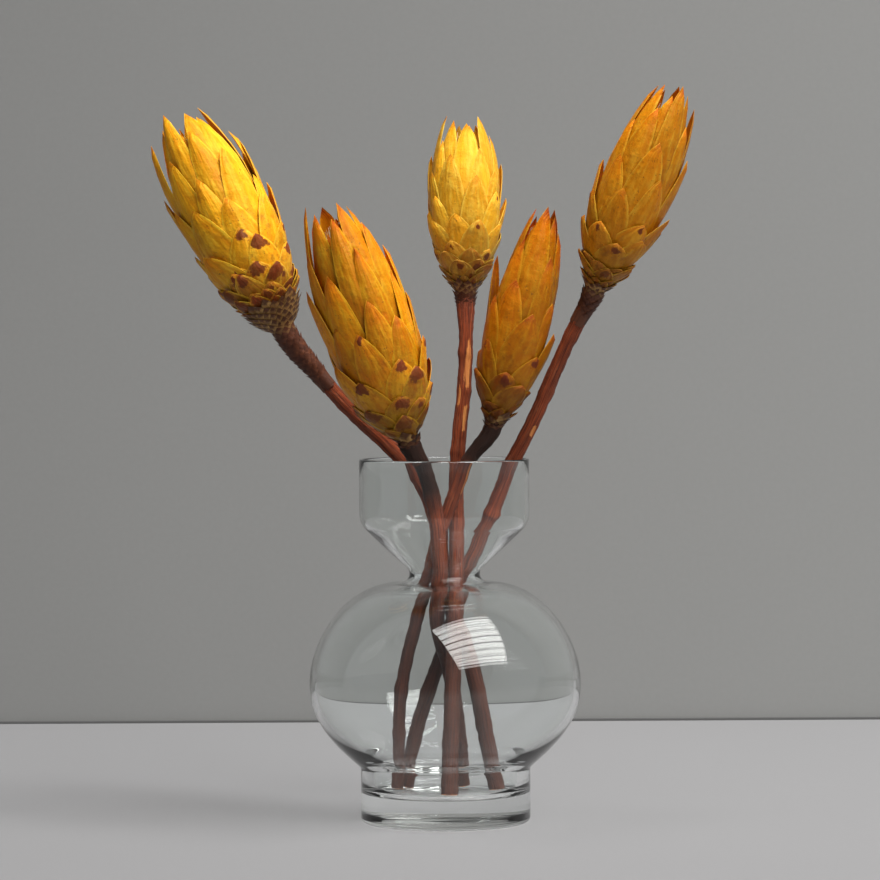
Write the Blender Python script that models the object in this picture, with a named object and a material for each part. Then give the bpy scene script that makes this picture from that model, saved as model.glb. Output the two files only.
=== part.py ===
"""Five dried protea heads on their cut stems, standing in a clear glass vase.

The frame: origin at the centre of the vase's underside, +Z up, the bouquet's front towards -Y.
Every flower is a stem, a woody receptacle, a sleeve of small scales, a bundle of florets and four
rows of bracts. The bracts of a row are joined at their bases, and the rows nest like cups.
"""

import math

import bmesh
import bpy
from mathutils import Vector

MM = 0.001
GAP = 0.3 * MM  # what touching pieces keep between them

# Vase: heights above the table and radii from the axis
VASE_HEIGHT = 160 * MM
VASE_STEPS = 32
FOOT_RADIUS = 37.4 * MM
FOOT_ROUNDING = 2.4 * MM
FOOT_TOP = 24.0 * MM
FLOOR_HEIGHT = 12.2 * MM
WELL_RADIUS = 31.8 * MM
WELL_ROUNDING = 6.0 * MM
BULB_RADIUS = 59.8 * MM
BULB_MIDDLE = 61.3 * MM
BULB_WALL = 2.7 * MM
SHOULDER = (21.5 * MM, 105.6 * MM)
CUP_RADIUS = 37.5 * MM
CUP_WALL = 2.2 * MM
CUP_TURN = (27.5 * MM, 136.0 * MM)  # centre of the bend from the cone into the cup

# Flower heads: heights along a head are shares of its length
BRACT_THICKNESS = 0.9 * MM
ROW_STEP = 1.7 * MM  # a row's offset inside the row outside it
SEAT_GAP = 0.55 * MM  # between the receptacle's corners and a row's; their flats come closer
BRACTS_IN_ROW = 8
STATIONS = (0.0, 0.10, 0.24, 0.45, 0.65, 0.83, 1.0)  # where the head's outline bends
ROWS = (  # name, then from base to tip: share of the head's length, share of a bract's full width
    ("outer", ((0.10, 1.0), (0.24, 1.0), (0.36, 0.72), (0.45, 0.0))),
    ("second", ((0.13, 1.0), (0.24, 1.0), (0.45, 0.84), (0.65, 0.0))),
    ("third", ((0.16, 1.0), (0.24, 1.0), (0.45, 0.95), (0.65, 0.72), (0.83, 0.0))),
    ("inner", ((0.19, 1.0), (0.24, 1.0), (0.45, 1.0), (0.65, 0.9), (0.83, 0.62), (1.0, 0.0))),
)
FLARE_FROM = 0.35
FLORETS_TOP = 0.84
NECK_RADIUS = 4.6 * MM
SCALES_FROM = 0.035
SCALE_RINGS = 3
SCALE_THICKNESS = 1.4 * MM
HEAD_STEPS = 16
RUN_IN = 5 * MM  # the stem's last straight run, in line with its head

# Each flower, in mm: its stem's foot (x, y), the route from there up, the head's base and tip, the stem's
# radius at the foot, below the neck and at the neck, and the head's widest and tip radius.
# widest_at is the share of the head's length where it is widest.
FLOWERS = (
    {
        "name": "far_left",
        "foot": (22.5, -6.0),
        "route": (
            (11.0, -2.0, 71), (3.5, 0.7, 93), (-0.6, 5.4, 110), (-3.8, 9.0, 133),
            (-12.0, 9.9, 152), (-25.0, 11.6, 166), (-41.0, 14.4, 181), (-57.0, 18.0, 199),
        ),
        "base": (-71.6, 22.0, 218.6),
        "tip": (-119.9, 36.0, 314.4),
        "stem_radii": (3.6, 3.3, 4.6),
        "head_radius": 22.9,
        "widest_at": 0.50,
        "tip_radius": 11.0,
    },
    {
        "name": "left",
        "foot": (8.0, 21.5),
        "route": (
            (5.4, 15.6, 42), (1.6, 8.0, 67), (-3.2, 0.8, 87), (-3.3, -3.7, 98),
            (-1.9, -6.8, 110), (-2.6, -9.8, 124), (-4.6, -12.3, 141), (-8.6, -14.6, 155),
        ),
        "base": (-16.0, -18.0, 170.4),
        "tip": (-51.4, -34.0, 272.3),
        "stem_radii": (3.3, 3.5, 4.8),
        "head_radius": 22.1,
        "widest_at": 0.40,
        "tip_radius": 9.0,
    },
    {
        "name": "centre",
        "foot": (1.5, -25.0),
        "route": (
            (3.0, -14.5, 54), (4.4, -8.2, 87), (4.9, -5.6, 100), (5.2, -3.4, 110),
            (5.4, 3.0, 133), (5.4, 6.0, 150), (6.8, 10.0, 170), (9.2, 16.0, 192.4),
            (10.1, 21.0, 214),
        ),
        "base": (10.0, 27.0, 235.2),
        "tip": (9.9, 40.0, 312.9),
        "stem_radii": (3.7, 3.0, 4.4),
        "head_radius": 18.0,
        "widest_at": 0.45,
        "tip_radius": 8.5,
    },
    {
        "name": "right",
        "foot": (-22.0, 6.0),
        "route": (
            (-19.2, 6.2, 58), (-12.5, 3.6, 89), (-7.2, 0.0, 109), (-4.4, -1.7, 120),
            (1.2, -3.5, 136), (5.2, -5.0, 146.5), (11.6, -6.6, 160.5),
        ),
        "base": (22.3, -8.0, 177.6),
        "tip": (46.2, -20.0, 270.3),
        "stem_radii": (2.7, 3.1, 4.0),
        "head_radius": 15.5,
        "widest_at": 0.36,
        "tip_radius": 5.5,
    },
    {
        "name": "far_right",
        "foot": (-18.0, 15.5),
        "route": (
            (-11.0, 15.6, 45), (-2.5, 14.4, 69), (3.0, 11.6, 87), (6.5, 8.2, 100),
            (8.7, 4.1, 110), (15.0, 2.2, 122), (20.6, 0.2, 135.4), (28.7, -3.0, 155.4),
            (39.6, -8.5, 177.5), (48.1, -13.5, 197.3), (57.0, -19.0, 217),
        ),
        "base": (66.0, -25.0, 234.9),
        "tip": (101.0, -41.0, 321.8),
        "stem_radii": (3.2, 3.2, 3.9),
        "head_radius": 17.8,
        "widest_at": 0.42,
        "tip_radius": 7.0,
    },
)

GLASS = ("glass", (0.86, 0.93, 0.91, 1), 0.03, 0.0)
BARK = ("bark", (0.17, 0.055, 0.03, 1), 0.7, 0.0)
WOODY = ("woody_receptacle", (0.16, 0.08, 0.04, 1), 0.8, 0.0)
SCALE = ("brown_scale", (0.24, 0.11, 0.045, 1), 0.7, 0.0)
FLORET = ("floret_down", (0.62, 0.48, 0.26, 1), 0.95, 0.0)
BRACT = ("golden_bract", (0.72, 0.37, 0.03, 1), 0.5, 0.0)


def clear_scene():
    for thing in list(bpy.data.objects):
        bpy.data.objects.remove(thing, do_unlink=True)


def material(spec):
    name, colour, roughness, metallic = spec
    found = bpy.data.materials.get(name)
    if found:
        return found
    made = bpy.data.materials.new(name)
    made.use_nodes = True
    shader = made.node_tree.nodes["Principled BSDF"]
    shader.inputs["Base Color"].default_value = colour
    shader.inputs["Roughness"].default_value = roughness
    shader.inputs["Metallic"].default_value = metallic
    if name == "glass":
        shader.inputs["Transmission Weight"].default_value = 1.0
    return made


def curve_points(start, pull_start, pull_end, end, steps):
    """Points of a cubic curve in the (radius, height) plane, without its last point."""
    points = []
    for i in range(steps):
        t = i / steps
        weights = ((1 - t) ** 3, 3 * t * (1 - t) ** 2, 3 * t * t * (1 - t), t**3)
        parts = (start, pull_start, pull_end, end)
        points.append(tuple(sum(w * p[k] for w, p in zip(weights, parts)) for k in (0, 1)))
    return points


def arc_points(centre, radius, start_deg, end_deg, steps):
    """Points of a round corner in the (radius, height) plane, both ends included."""
    points = []
    for i in range(steps + 1):
        angle = math.radians(start_deg + (end_deg - start_deg) * i / steps)
        points.append((centre[0] + radius * math.cos(angle), centre[1] + radius * math.sin(angle)))
    return points


def link(name, mesh, spec, parent=None):
    thing = bpy.data.objects.new(name, mesh)
    bpy.context.scene.collection.objects.link(thing)
    mesh.materials.append(material(spec))
    thing.parent = parent
    return thing


def finished_mesh(name, form, sharp_deg=40):
    bmesh.ops.remove_doubles(form, verts=form.verts, dist=0.001 * MM)
    bmesh.ops.recalc_face_normals(form, faces=form.faces)
    mesh = bpy.data.meshes.new(name)
    form.to_mesh(mesh)
    form.free()
    mesh.shade_smooth()
    mesh.set_sharp_from_angle(angle=math.radians(sharp_deg))
    return mesh


def turned(name, profile, steps, spec, parent=None, closed=False):
    """A piece turned on a lathe: its (radius, height) profile spun about the local Z axis."""
    form = bmesh.new()
    verts = [form.verts.new((radius, 0, height)) for radius, height in profile]
    pairs = list(zip(verts, verts[1:]))
    if closed:
        pairs.append((verts[-1], verts[0]))
    edges = [form.edges.new(pair) for pair in pairs]
    bmesh.ops.spin(
        form, geom=verts + edges, cent=(0, 0, 0), axis=(0, 0, 1), angle=2 * math.pi, steps=steps
    )
    return link(name, finished_mesh(name, form), spec, parent)


def vase_outside():
    """From the middle of the underside up to the rim."""
    foot_corner = (FOOT_RADIUS - FOOT_ROUNDING, FOOT_ROUNDING)
    foot_top = (FOOT_RADIUS + 0.6 * MM, FOOT_TOP + 0.8 * MM)
    middle = (BULB_RADIUS, BULB_MIDDLE)
    cone_base = (18.2 * MM, 113.6 * MM)
    rim = CUP_WALL / 2
    return (
        [(0, 0)]
        + arc_points(foot_corner, FOOT_ROUNDING, -90, 0, 3)
        + [(FOOT_RADIUS, FOOT_TOP)]
        + curve_points(foot_top, (53 * MM, 37.5 * MM), (BULB_RADIUS, 47 * MM), middle, 5)
        + curve_points(middle, (BULB_RADIUS, 80.3 * MM), (43.5 * MM, SHOULDER[1]), SHOULDER, 7)
        + curve_points(SHOULDER, (14.2 * MM, SHOULDER[1]), (14.2 * MM, 110.8 * MM), cone_base, 4)
        + [cone_base]
        + arc_points(CUP_TURN, CUP_RADIUS - CUP_TURN[0], -46, 0, 3)
        + arc_points((CUP_RADIUS - rim, VASE_HEIGHT - rim), rim, 0, 180, 3)
    )


def vase_inside():
    """From the rim down to the floor."""
    bulb = (BULB_RADIUS - BULB_WALL, BULB_MIDDLE)
    cone_base = (16.7 * MM, 115.2 * MM)
    shoulder = (SHOULDER[0] - 0.5 * MM, SHOULDER[1] - BULB_WALL)
    well_top = (WELL_RADIUS + 1.4 * MM, FOOT_TOP + 3.8 * MM)
    return (
        arc_points(CUP_TURN, CUP_RADIUS - CUP_WALL - CUP_TURN[0], 0, -46, 3)
        + curve_points(cone_base, (11.6 * MM, 110.6 * MM), (11.6 * MM, shoulder[1]), shoulder, 4)
        + curve_points(shoulder, (41.5 * MM, shoulder[1]), (bulb[0], 79.5 * MM), bulb, 6)
        + curve_points(bulb, (bulb[0], 48 * MM), (50 * MM, 38 * MM), well_top, 5)
        + [well_top, (WELL_RADIUS, FOOT_TOP + 1.0 * MM)]
        + arc_points(
            (WELL_RADIUS - WELL_ROUNDING, FLOOR_HEIGHT + WELL_ROUNDING), WELL_ROUNDING, 0, -90, 3
        )
        + [(0, FLOOR_HEIGHT)]
    )


def make_vase():
    turned("vase", vase_outside() + vase_inside(), VASE_STEPS, GLASS)


def outline(flower, share):
    """The outermost row's smooth outside radius at a share of the head's length.

    It stands clear of the head's silhouette where only the inner rows reach.
    """
    inner_rows = max(share - FLARE_FROM, 0) / (1 - FLARE_FROM) * len(ROWS)
    widest = flower["head_radius"] * MM
    tip = flower["tip_radius"] * MM
    at = flower["widest_at"]
    if share <= at:
        radius = NECK_RADIUS + (widest - NECK_RADIUS) * math.sin(math.pi / 2 * (share / at) ** 0.65)
    else:
        radius = tip + (widest - tip) * math.cos(math.pi / 2 * ((share - at) / (1 - at)) ** 1.25)
    return radius + inner_rows * ROW_STEP * 0.8


def envelope(flower, share):
    """The outline with straight runs between the stations, so that the rows nest evenly."""
    for low, high in zip(STATIONS, STATIONS[1:]):
        if share <= high:
            break
    along = (share - low) / (high - low)
    return outline(flower, low) * (1 - along) + outline(flower, high) * along


def head_length(flower):
    return (Vector(flower["tip"]) - Vector(flower["base"])).length * MM


def head_axis(flower):
    return (Vector(flower["tip"]) - Vector(flower["base"])).normalized()


def head_frame(flower):
    """An empty at the head's base whose Z axis runs up the head."""
    frame = bpy.data.objects.new(flower["name"] + "_head", None)
    bpy.context.scene.collection.objects.link(frame)
    frame.location = Vector(flower["base"]) * MM
    frame.rotation_mode = "QUATERNION"
    frame.rotation_quaternion = head_axis(flower).to_track_quat("Z", "X")
    return frame


def seat_radius(flower, share):
    """The receptacle's radius: just inside the row that starts at each height."""
    first, second = (ROWS[i][1][0][0] for i in (0, 1))
    row = max((share - first) / (second - first), 0)
    return envelope(flower, share) - row * ROW_STEP - BRACT_THICKNESS - SEAT_GAP


def make_stem(flower):
    """A tapering, gently bent tube from the vase's floor to the receptacle's underside."""
    foot_radius, top_radius, neck_radius = (r * MM for r in flower["stem_radii"])
    route = [Vector(p) * MM for p in flower["route"]]
    foot = Vector((*flower["foot"], FLOOR_HEIGHT / MM)) * MM
    lean = (route[0] - foot).normalized()
    foot.z += GAP + foot_radius * math.sqrt(1 - lean.z**2)  # its tilted end clears the floor
    base = Vector(flower["base"]) * MM
    axis = head_axis(flower)
    points = [foot, foot + lean * 12 * MM, *route, base - axis * RUN_IN, base - axis * GAP]

    curve = bpy.data.curves.new(flower["name"] + "_stem", "CURVE")
    curve.dimensions = "3D"
    curve.bevel_depth = foot_radius
    curve.bevel_resolution = 2
    curve.resolution_u = 2
    curve.use_fill_caps = True
    spline = curve.splines.new("BEZIER")
    spline.bezier_points.add(len(points) - 1)
    neck_knots = 2
    for i, (knot, place) in enumerate(zip(spline.bezier_points, points)):
        knot.co = place
        knot.handle_left_type = knot.handle_right_type = "AUTO"
        share = i / (len(points) - 1)
        radius = foot_radius + (top_radius - foot_radius) * share
        if i >= len(points) - neck_knots:
            radius = neck_radius
        knot.radius = radius / foot_radius
    link(curve.name, curve, BARK)


def make_receptacle(flower, frame):
    """The woody cone that carries everything: neck, flank under the rows, and a domed top."""
    length = head_length(flower)
    bases = [sections[0][0] for _, sections in ROWS]
    profile = [(0, 0), (flower["stem_radii"][-1] * MM, 0)]
    for share in (SCALES_FROM, bases[0]):
        profile.append((seat_radius(flower, share) - SCALE_THICKNESS, share * length))
    for share in (*bases, bases[-1] + 0.012):
        profile.append((seat_radius(flower, share), share * length))
    top = profile[-1]
    profile.append((top[0] * 0.6, top[1] + 1.2 * MM))
    profile.append((0, top[1] + 1.6 * MM))
    turned(flower["name"] + "_receptacle", profile, HEAD_STEPS, WOODY, frame)


def make_scales(flower, frame):
    """A sleeve of small overlapping scales on the receptacle's lower flank, in rings."""
    length = head_length(flower)
    low, high = SCALES_FROM, ROWS[0][1][0][0] - 0.006
    inner = [(seat_radius(flower, s) - SCALE_THICKNESS + GAP, s * length) for s in (high, low)]
    outer = []
    for ring in range(SCALE_RINGS):
        for edge, lift in ((0, -0.5 * MM), (0.9, 0.3 * MM)):
            share = low + (high - low) * (ring + edge) / SCALE_RINGS
            outer.append((seat_radius(flower, share) + lift, share * length))
    turned(flower["name"] + "_scales", outer + inner, HEAD_STEPS, SCALE, frame, closed=True)


def make_florets(flower, frame):
    """The closed bundle of dry florets in the middle of the head."""
    length = head_length(flower)
    start = ROWS[-1][1][0][0] * length + 3.4 * MM
    inset = len(ROWS) * ROW_STEP + GAP
    profile = [(0, start)]
    for i in range(5):
        height = start + (FLORETS_TOP * length - start) * i / 4
        radius = max(envelope(flower, height / length) - inset, 1.5 * MM)
        profile.append((radius, height))
    profile[1] = (profile[1][0] * 0.85, profile[1][1])
    profile[-1] = (profile[-1][0] * 0.6, profile[-1][1])
    profile.append((0, (FLORETS_TOP + 0.02) * length))
    turned(flower["name"] + "_florets", profile, HEAD_STEPS, FLORET, frame)


def bract_side(form, flower, row, centre, depth):
    """One face of a bract, base to tip: three points across, and a single one at its tip."""
    length = head_length(flower)
    half = math.pi / BRACTS_IN_ROW
    rows = []
    for share, width in ROWS[row][1]:
        radius = envelope(flower, share) - row * ROW_STEP - depth
        turns = (-1, 0, 1) if width else (0,)
        angles = [centre + half * width * turn for turn in turns]
        ring = [(radius * math.cos(a), radius * math.sin(a), share * length) for a in angles]
        rows.append([form.verts.new(place) for place in ring])
    return rows


def fill_between(form, lower, upper):
    """Faces from one line of points to the next, which may be a single point."""
    for i in range(len(lower) - 1):
        above = upper[i : i + 2] if len(upper) > 1 else upper
        form.faces.new([*lower[i : i + 2], *reversed(above)])


def make_bract_row(flower, frame, row):
    """One row of bracts: a cup whose wall is cut into pointed, slightly keeled bracts."""
    form = bmesh.new()
    sector = 2 * math.pi / BRACTS_IN_ROW
    split = sum(width == 1.0 for _, width in ROWS[row][1]) - 1  # the last joined section
    for number in range(BRACTS_IN_ROW):
        centre = sector * (number + 0.618 * row)
        outside = bract_side(form, flower, row, centre, 0)
        inside = bract_side(form, flower, row, centre, BRACT_THICKNESS)
        fill_between(form, inside[0], outside[0])
        for side in (outside, inside):
            for lower, upper in zip(side, side[1:]):
                fill_between(form, lower, upper)
        for end in (0, -1):
            edges = [(out[end], back[end]) for out, back in zip(outside[split:], inside[split:])]
            for lower, upper in zip(edges, edges[1:]):
                fill_between(form, lower, upper)
    name = f"{flower['name']}_bracts_{ROWS[row][0]}"
    link(name, finished_mesh(name, form), BRACT, frame)


def make_flower(flower):
    frame = head_frame(flower)
    make_stem(flower)
    make_receptacle(flower, frame)
    make_scales(flower, frame)
    make_florets(flower, frame)
    for row in range(len(ROWS)):
        make_bract_row(flower, frame, row)


def main():
    clear_scene()
    make_vase()
    for flower in FLOWERS:
        make_flower(flower)


main()
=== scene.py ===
"""Five dried protea heads on woody stems in a clear glass vase: surfaces, light and camera."""

import math
import random

import bmesh
import bpy
import numpy as np
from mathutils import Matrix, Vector, noise


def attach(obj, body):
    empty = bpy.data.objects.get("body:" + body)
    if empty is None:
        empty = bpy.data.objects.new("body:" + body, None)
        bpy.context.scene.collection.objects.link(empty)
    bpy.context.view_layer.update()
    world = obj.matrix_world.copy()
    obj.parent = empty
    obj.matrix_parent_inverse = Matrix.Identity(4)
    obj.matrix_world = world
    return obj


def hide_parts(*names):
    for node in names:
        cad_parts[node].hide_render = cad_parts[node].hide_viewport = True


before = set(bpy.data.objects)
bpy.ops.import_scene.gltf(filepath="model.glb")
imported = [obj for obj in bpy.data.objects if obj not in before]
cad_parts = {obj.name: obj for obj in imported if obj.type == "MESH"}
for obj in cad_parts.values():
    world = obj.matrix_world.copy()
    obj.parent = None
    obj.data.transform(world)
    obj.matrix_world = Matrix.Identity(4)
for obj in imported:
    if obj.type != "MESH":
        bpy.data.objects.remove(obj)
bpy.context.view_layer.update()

MM = 0.001
BODY = "root"
GOLDEN_TURN = math.pi * (3 - math.sqrt(5))

# ---------------------------------------------------------------- the vase's own measures, as in the CAD
VASE_HEIGHT = 160 * MM
VASE_STEPS = 160
FOOT_RADIUS = 37.4 * MM
FOOT_ROUNDING = 2.4 * MM
FOOT_TOP = 24.0 * MM
FLOOR_HEIGHT = 12.2 * MM
WELL_RADIUS = 31.8 * MM
WELL_ROUNDING = 6.0 * MM
BULB_RADIUS = 59.8 * MM
BULB_MIDDLE = 61.3 * MM
BULB_WALL = 2.7 * MM
SHOULDER = (21.5 * MM, 105.6 * MM)
CUP_RADIUS = 37.5 * MM
CUP_WALL = 1.7 * MM
CUP_TURN = (27.5 * MM, 136.0 * MM)

# ---------------------------------------------------------------- the flowers, in mm, as in the CAD
# low, gold, pale and deep are a head's colours. A stray bract stands away from its head: its
# direction round the head in degrees, its tip's share of the head's length, and its lift in mm.
GAP = 0.3
RUN_IN = 5.0
NECK_RADIUS = 4.6
FLOWERS = (
    {
        "name": "far_left",
        "spot_sizes": (0.35, 1.1),
        "strays": (
            (178, 0.95, 3.2), (185, 0.86, 3.0), (180, 0.74, 2.4), (195, 0.42, 2.4),
            (20, 0.62, 2.4), (5, 0.85, 2.4),
        ),
        "loose": 3,
        "taper": 0.66,
        "low": (0.34, 0.125, 0.015),
        "gold": (0.80, 0.345, 0.006),
        "pale": (0.95, 0.58, 0.040),
        "deep": (0.58, 0.190, 0.003),
        "seed": 11,
        "foot": (22.5, -6.0),
        "route": (
            (11.0, -2.0, 71), (3.5, 0.7, 93), (-0.6, 5.4, 110), (-3.8, 9.0, 133),
            (-12.0, 9.9, 152), (-25.0, 11.6, 166), (-41.0, 14.4, 181), (-57.0, 18.0, 199),
        ),
        "base": (-71.6, 22.0, 218.6),
        "tip": (-119.9, 36.0, 314.4),
        "stem_radii": (3.6, 3.3, 4.6),
        "head_radius": 22.9,
        "widest_at": 0.50,
        "tip_radius": 11.0,
        "scaly": 0.075,
        "neck_scales": 0.26,
        "bract_size": 1.14,
        "slender": 1.05,
        "redness": 0.0,
        "tip_brown": 1.35,
        "spots": 1.0,
    },
    {
        "name": "left",
        "spot_sizes": (0.35, 1.1),
        "strays": (
            (182, 0.88, 1.2), (178, 0.66, 1.6), (200, 0.33, 2.4), (5, 0.75, 2.0), (-10, 0.3, 2.4),
        ),
        "taper": 0.66,
        "low": (0.38, 0.20, 0.018),
        "gold": (0.60, 0.215, 0.003),
        "pale": (0.74, 0.400, 0.018),
        "deep": (0.48, 0.110, 0.001),
        "seed": 23,
        "foot": (8.0, 21.5),
        "route": (
            (5.4, 15.6, 42), (1.6, 8.0, 67), (-3.2, 0.8, 87), (-3.3, -3.7, 98),
            (-1.9, -6.8, 110), (-2.6, -9.8, 124), (-4.6, -12.3, 141), (-8.6, -14.6, 155),
        ),
        "base": (-16.0, -18.0, 170.4),
        "tip": (-51.4, -34.0, 272.3),
        "stem_radii": (3.3, 3.5, 4.8),
        "head_radius": 22.1,
        "widest_at": 0.40,
        "tip_radius": 9.0,
        "scaly": -0.05,
        "neck_scales": 0.05,
        "bract_size": 1.12,
        "slender": 1.15,
        "redness": 0.55,
        "tip_brown": 1.25,
        "spots": 1.0,
    },
    {
        "name": "centre",
        "spot_sizes": (0.15, 0.45),
        "strays": ((180, 0.72, 2.0), (5, 0.78, 2.4), (10, 0.5, 2.4)),
        "taper": 0.74,
        "low": (0.50, 0.280, 0.040),
        "gold": (0.80, 0.385, 0.016),
        "pale": (0.93, 0.62, 0.080),
        "deep": (0.74, 0.290, 0.006),
        "seed": 37,
        "foot": (1.5, -25.0),
        "route": (
            (3.0, -14.5, 54), (4.4, -8.2, 87), (4.9, -5.6, 100), (5.2, -3.4, 110),
            (5.4, 3.0, 133), (5.4, 6.0, 150), (6.8, 10.0, 170), (9.2, 16.0, 192.4),
            (10.1, 21.0, 214),
        ),
        "base": (10.0, 27.0, 235.2),
        "tip": (9.9, 40.0, 312.9),
        "stem_radii": (3.7, 3.0, 4.4),
        "head_radius": 18.0,
        "widest_at": 0.45,
        "tip_radius": 8.5,
        "scaly": 0.0,
        "neck_scales": 0.12,
        "bract_size": 0.9,
        "slender": 1.1,
        "redness": 0.0,
        "tip_brown": 0.75,
        "spots": 0.7,
    },
    {
        "name": "right",
        "spot_sizes": (0.25, 0.7),
        "strays": ((186, 0.72, 5.4), (5, 0.45, 2.4)),
        "taper": 0.7,
        "low": (0.28, 0.120, 0.008),
        "gold": (0.44, 0.145, 0.002),
        "pale": (0.60, 0.300, 0.014),
        "deep": (0.34, 0.070, 0.001),
        "seed": 41,
        "foot": (-22.0, 6.0),
        "route": (
            (-19.2, 6.2, 58), (-12.5, 3.6, 89), (-7.2, 0.0, 109), (-4.4, -1.7, 120),
            (1.2, -3.5, 136), (5.2, -5.0, 146.5), (11.6, -6.6, 160.5),
        ),
        "base": (22.3, -8.0, 177.6),
        "tip": (46.2, -20.0, 270.3),
        "stem_radii": (2.7, 3.1, 4.0),
        "head_radius": 15.5,
        "widest_at": 0.36,
        "tip_radius": 5.5,
        "scaly": -0.04,
        "neck_scales": 0.04,
        "bract_size": 1.0,
        "slender": 1.4,
        "redness": 0.95,
        "tip_brown": 0.7,
        "spots": 0.8,
    },
    {
        "name": "far_right",
        "spot_sizes": (0.15, 0.45),
        "strays": ((175, 0.62, 2.4), (5, 0.70, 2.4), (0, 0.5, 2.4), (2, 0.86, 2.4), (10, 0.95, 2.8)),
        "taper": 0.72,
        "low": (0.38, 0.165, 0.010),
        "gold": (0.58, 0.200, 0.003),
        "pale": (0.76, 0.410, 0.030),
        "deep": (0.42, 0.120, 0.001),
        "seed": 59,
        "foot": (-18.0, 15.5),
        "route": (
            (-11.0, 15.6, 45), (-2.5, 14.4, 69), (3.0, 11.6, 87), (6.5, 8.2, 100),
            (8.7, 4.1, 110), (15.0, 2.2, 122), (20.6, 0.2, 135.4), (28.7, -3.0, 155.4),
            (39.6, -8.5, 177.5), (48.1, -13.5, 197.3), (57.0, -19.0, 217),
        ),
        "base": (66.0, -25.0, 234.9),
        "tip": (101.0, -41.0, 321.8),
        "stem_radii": (3.2, 3.2, 3.9),
        "head_radius": 17.8,
        "widest_at": 0.42,
        "tip_radius": 7.0,
        "scaly": 0.0,
        "neck_scales": 0.12,
        "bract_size": 1.0,
        "slender": 1.25,
        "redness": 0.25,
        "tip_brown": 0.75,
        "spots": 0.9,
    },
)
ROW_NAMES = ("outer", "second", "third", "inner")
HEART_BRACTS = 14
SPIRAL_STEP = 0.62  # how far the spiral climbs for each leaf, against the leaf's own visible area
BRACT_SPREAD = 1.62  # a leaf's full width over its visible width
SCALE_SPREAD = 1.3
LOOSE_SPREAD = 1.5
SCALES_END = 0.045  # the share of the head's length where bracts take over from scales
CORE_REACH = 0.26
HAIRS_IN_HEAD = 110
HAIR_RADIUS = 0.34


# ---------------------------------------------------------------- materials
class Value:
    """A socket of a material's nodes; arithmetic on it adds Math nodes."""

    def __init__(self, recipe, socket):
        self.recipe = recipe
        self.socket = socket

    def math(self, operation, *others):
        return self.recipe.node("ShaderNodeMath", {"operation": operation}, [self, *others])

    def __rsub__(self, other):
        return self.recipe.node("ShaderNodeMath", {"operation": "SUBTRACT"}, [other, self])

    def __add__(self, other):
        return self.math("ADD", other)

    def __sub__(self, other):
        return self.math("SUBTRACT", other)

    def __mul__(self, other):
        return self.math("MULTIPLY", other)

    __radd__ = __add__
    __rmul__ = __mul__

    def fade(self, low, high):
        """0 below low and 1 above high, smooth in between; low may be the higher one."""
        return self.recipe.node(
            "ShaderNodeMapRange", {"interpolation_type": "SMOOTHSTEP"}, {0: self, 1: low, 2: high}
        )


class Recipe:
    """A Principled material under construction."""

    def __init__(self, name, **constants):
        self.material = bpy.data.materials.new(name)
        self.material.use_nodes = True
        self.tree = self.material.node_tree
        self.shader = self.tree.nodes["Principled BSDF"]
        for socket, value in constants.items():
            self.shader.inputs[socket.replace("_", " ")].default_value = value

    def plug(self, socket, value):
        if isinstance(value, Value):
            self.tree.links.new(value.socket, socket)
        else:
            socket.default_value = value

    def node(self, kind, settings=None, inputs=None, out=0):
        made = self.tree.nodes.new(kind)
        for key, value in (settings or {}).items():
            setattr(made, key, value)
        pairs = inputs.items() if isinstance(inputs, dict) else enumerate(inputs or ())
        for key, value in pairs:
            self.plug(made.inputs[key], value)
        return Value(self, made.outputs[out])

    def place(self):
        return self.node("ShaderNodeTexCoord", out="Object")

    def attribute(self, name):
        return self.node("ShaderNodeAttribute", {"attribute_name": name}, out="Fac")

    def vector(self, x, y, z):
        return self.node("ShaderNodeCombineXYZ", None, [x, y, z])

    def noise(self, vector, scale, detail=3.0, roughness=0.55):
        inputs = {"Vector": vector, "Scale": scale, "Detail": detail, "Roughness": roughness}
        return self.node("ShaderNodeTexNoise", None, inputs)

    def cells(self, vector, scale, randomness=1.0, out="Distance"):
        inputs = {"Vector": vector, "Scale": scale, "Randomness": randomness}
        return self.node("ShaderNodeTexVoronoi", None, inputs, out)

    def mix(self, share, first, second, blend="MIX"):
        settings = {"data_type": "RGBA", "blend_type": blend}
        return self.node("ShaderNodeMix", settings, {0: share, 6: first, 7: second}, 2)

    def bump(self, height, strength, distance):
        inputs = {"Strength": strength, "Distance": distance, "Height": height}
        return self.node("ShaderNodeBump", None, inputs)

    def finish(self, **varying):
        for socket, value in varying.items():
            self.plug(self.shader.inputs[socket.replace("_", " ")], value)
        return self.material


def rgb(red, green, blue):
    return (red, green, blue, 1.0)


def shade(colour, strength=1.0):
    return (*(min(part * strength, 1.0) for part in colour), 1.0)


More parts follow.
